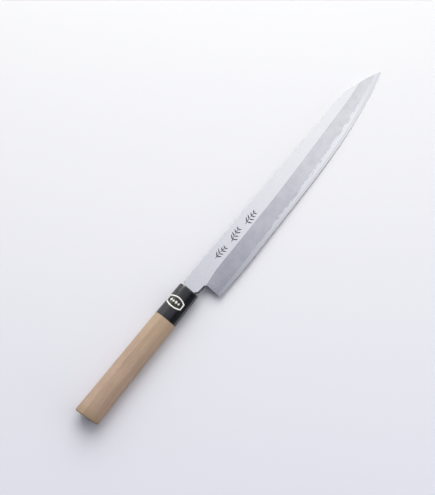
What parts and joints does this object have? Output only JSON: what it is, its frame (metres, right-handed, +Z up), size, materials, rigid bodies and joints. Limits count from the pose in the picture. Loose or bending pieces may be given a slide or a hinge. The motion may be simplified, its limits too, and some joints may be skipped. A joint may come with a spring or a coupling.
{
  "type": "yanagiba knife",
  "caption": "Long narrow single-bevel slicing knife with a two-metal blade, a ridged pale wooden handle and a black horn ferrule.",
  "frame": {"origin": "middle of the floor under the knife as it rests on its hollow back, bevel side up", "axes": "+X from butt to tip, +Y to the spine's side, +Z up, to the bevel side"},
  "size_m": [0.4192, 0.038, 0.0218],
  "materials": {
    "soft_iron": "fine satin ground flat, grey stone-finished bevel",
    "hard_steel": "bright polished edge strip, ground hollow back",
    "ho_wood": "smooth unvarnished pale magnolia wood",
    "black_horn": "polished water buffalo horn",
    "label_foil": "printed foil, cream border on a dark ground",
    "seal_resin": "pale wax-like resin"
  },
  "bodies": {
    "root": {"blade_iron": "soft_iron", "edge_steel": "hard_steel", "handle_body": "ho_wood", "ferrule": "black_horn", "ferrule_label": "label_foil", "mouth_seal": "seal_resin"}
  },
  "joints": []
}
